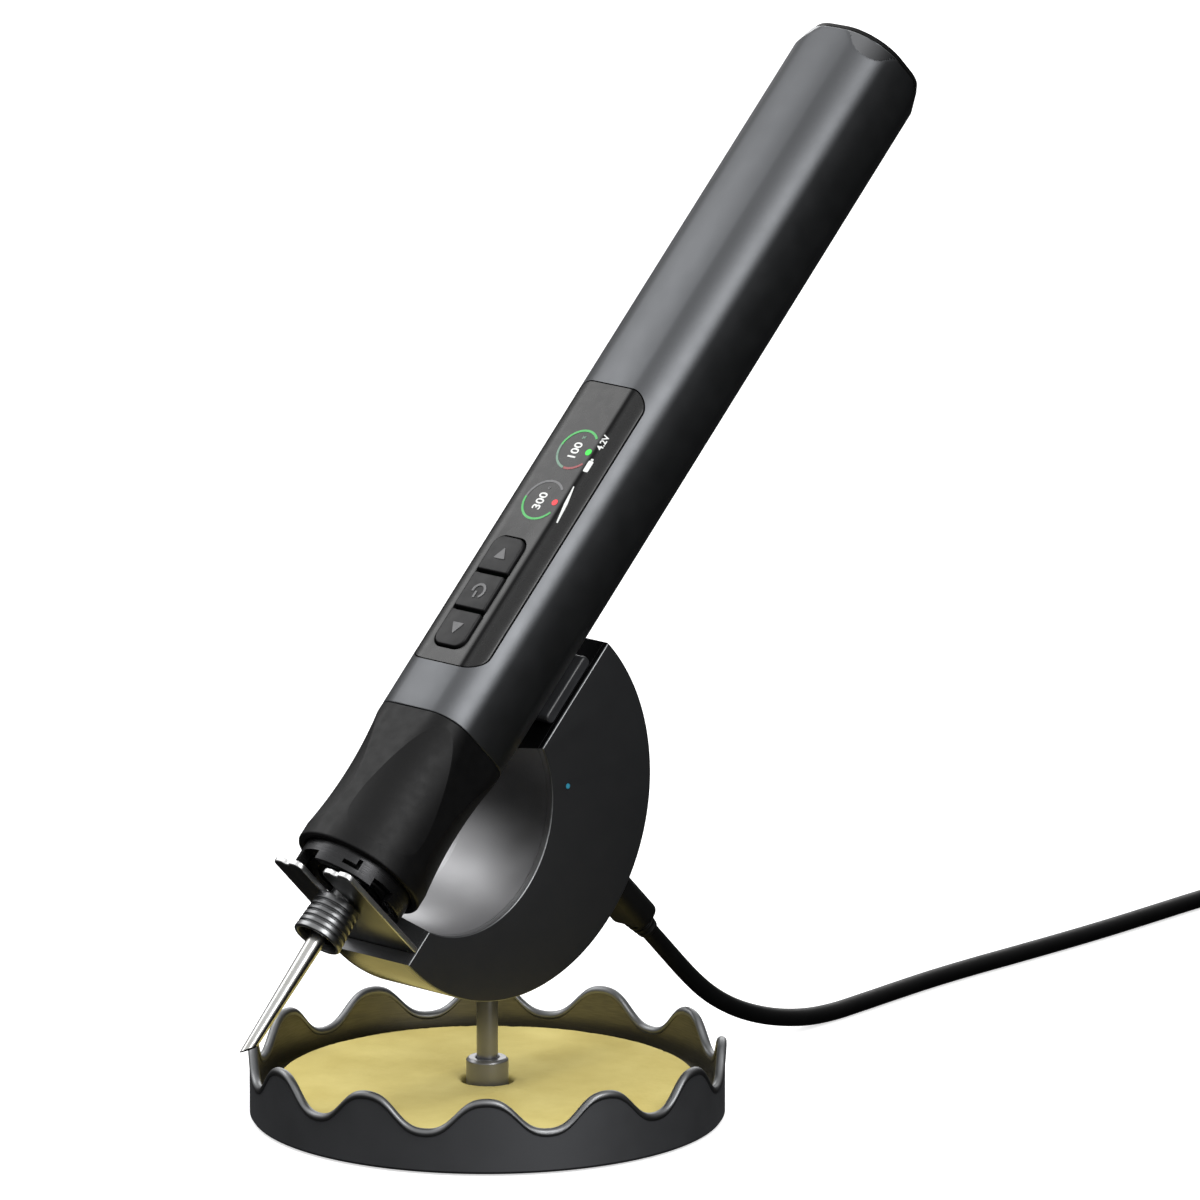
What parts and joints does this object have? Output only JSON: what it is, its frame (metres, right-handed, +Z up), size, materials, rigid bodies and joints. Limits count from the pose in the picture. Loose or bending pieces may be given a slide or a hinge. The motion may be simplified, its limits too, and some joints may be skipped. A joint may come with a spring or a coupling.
{
  "type": "soldering iron station",
  "caption": "Cordless soldering pen at rest on a charging stand: half-disc cradle with fork rest on a post, wavy-rimmed sponge tray and a plugged-in charging lead.",
  "frame": {"origin": "centre of the foot's underside, on the axis of the post", "axes": "+Z up; +X towards the side that the pen's tail leans to; +Y across the pen, on the side away from the charge light"},
  "size_m": [0.3385, 0.1125, 0.2037],
  "materials": {
    "tray_metal": "satin gunmetal, bright rim",
    "foot_rubber": "matte",
    "sponge": "dry cellulose, pale yellow",
    "post_steel": "turned",
    "screw_steel": "plain",
    "cradle_metal": "satin grey, bright in the bite",
    "cover_paint": "dark grey satin",
    "light_lens": "clear blue lens",
    "pad_plastic": "satin",
    "contact_gold": "plated",
    "magnet": "nickel plated",
    "circuit_board": "solder mask",
    "connector_metal": "plain",
    "polished_plate": "polished",
    "plug_plastic": "fine texture",
    "cable_jacket": "smooth satin",
    "pen_metal": "bead-blasted anodised",
    "cap_plastic": "matte",
    "window_gloss": "gloss black",
    "display": "glass",
    "button_plastic": "satin",
    "cell_can": "wrapped",
    "grip_plastic": "satin",
    "sleeve_metal": "satin",
    "barrel_steel": "turned and ringed",
    "bush_ceramic": "matte",
    "tip_plating": "polished"
  },
  "bodies": {
    "stand": {"tray": "tray_metal", "foot_pad": "foot_rubber", "sponge": "sponge", "post_collar": "post_steel", "post": "post_steel", "base_screw": "screw_steel", "post_nut": "screw_steel", "cradle_body": "cradle_metal", "cradle_cover_near": "cover_paint", "cradle_cover_far": "cover_paint", "charge_light": "light_lens", "contact_pad": "pad_plastic", "charging_pins": "contact_gold", "cradle_magnet_lower": "magnet", "cradle_magnet_upper": "magnet", "cradle_board": "circuit_board", "usb_socket": "connector_metal", "fork_plate": "polished_plate", "fork_screw_near": "screw_steel", "fork_screw_far": "screw_steel", "usb_c_shell": "connector_metal", "usb_c_overmould": "plug_plastic", "strain_relief": "plug_plastic", "cable": "cable_jacket", "cable_coil": "cable_jacket", "cable_tail": "cable_jacket", "usb_a_overmould": "plug_plastic", "usb_a_shell": "connector_metal"},
    "pen": {"pen_shell": "pen_metal", "end_cap": "cap_plastic", "display_window": "window_gloss", "display_module": "display", "pen_board": "circuit_board", "switch_up": "screw_steel", "switch_power": "screw_steel", "switch_down": "screw_steel", "battery_cell": "cell_can", "battery_contact": "contact_gold", "battery_spring": "screw_steel", "nose_grip": "grip_plastic", "nose_sleeve": "sleeve_metal", "tip_socket": "cap_plastic", "pen_contacts": "contact_gold", "pen_magnet_lower": "magnet", "pen_magnet_upper": "magnet"},
    "up_button": {"button_up": "button_plastic"},
    "power_button": {"button_power": "button_plastic"},
    "down_button": {"button_down": "button_plastic"},
    "barrel": {"barrel_nut": "barrel_steel", "barrel_bush": "bush_ceramic"},
    "tip": {"tip": "tip_plating"}
  },
  "joints": [
    {"name": "pen_lift", "type": "slide", "parent": "stand", "child": "pen", "axis": [-0.7071, 0, 0.7071], "range_m": [0, 0.08]},
    {"name": "up_press", "type": "slide", "parent": "pen", "child": "up_button", "axis": [0.7071, 0, -0.7071], "range_m": [0, 0.0005], "stiffness_N_per_m": 2000},
    {"name": "power_press", "type": "slide", "parent": "pen", "child": "power_button", "axis": [0.7071, 0, -0.7071], "range_m": [0, 0.0005], "stiffness_N_per_m": 2000},
    {"name": "down_press", "type": "slide", "parent": "pen", "child": "down_button", "axis": [0.7071, 0, -0.7071], "range_m": [0, 0.0005], "stiffness_N_per_m": 2000},
    {"name": "barrel_turn", "type": "hinge", "parent": "pen", "child": "barrel", "pos_m": [-0.04483, 0, 0.04483], "axis": [0.7071, 0, 0.7071], "continuous": true},
    {"name": "tip_pull", "type": "slide", "parent": "pen", "child": "tip", "axis": [-0.7071, 0, -0.7071], "range_m": [0, 0.024]}
  ]
}
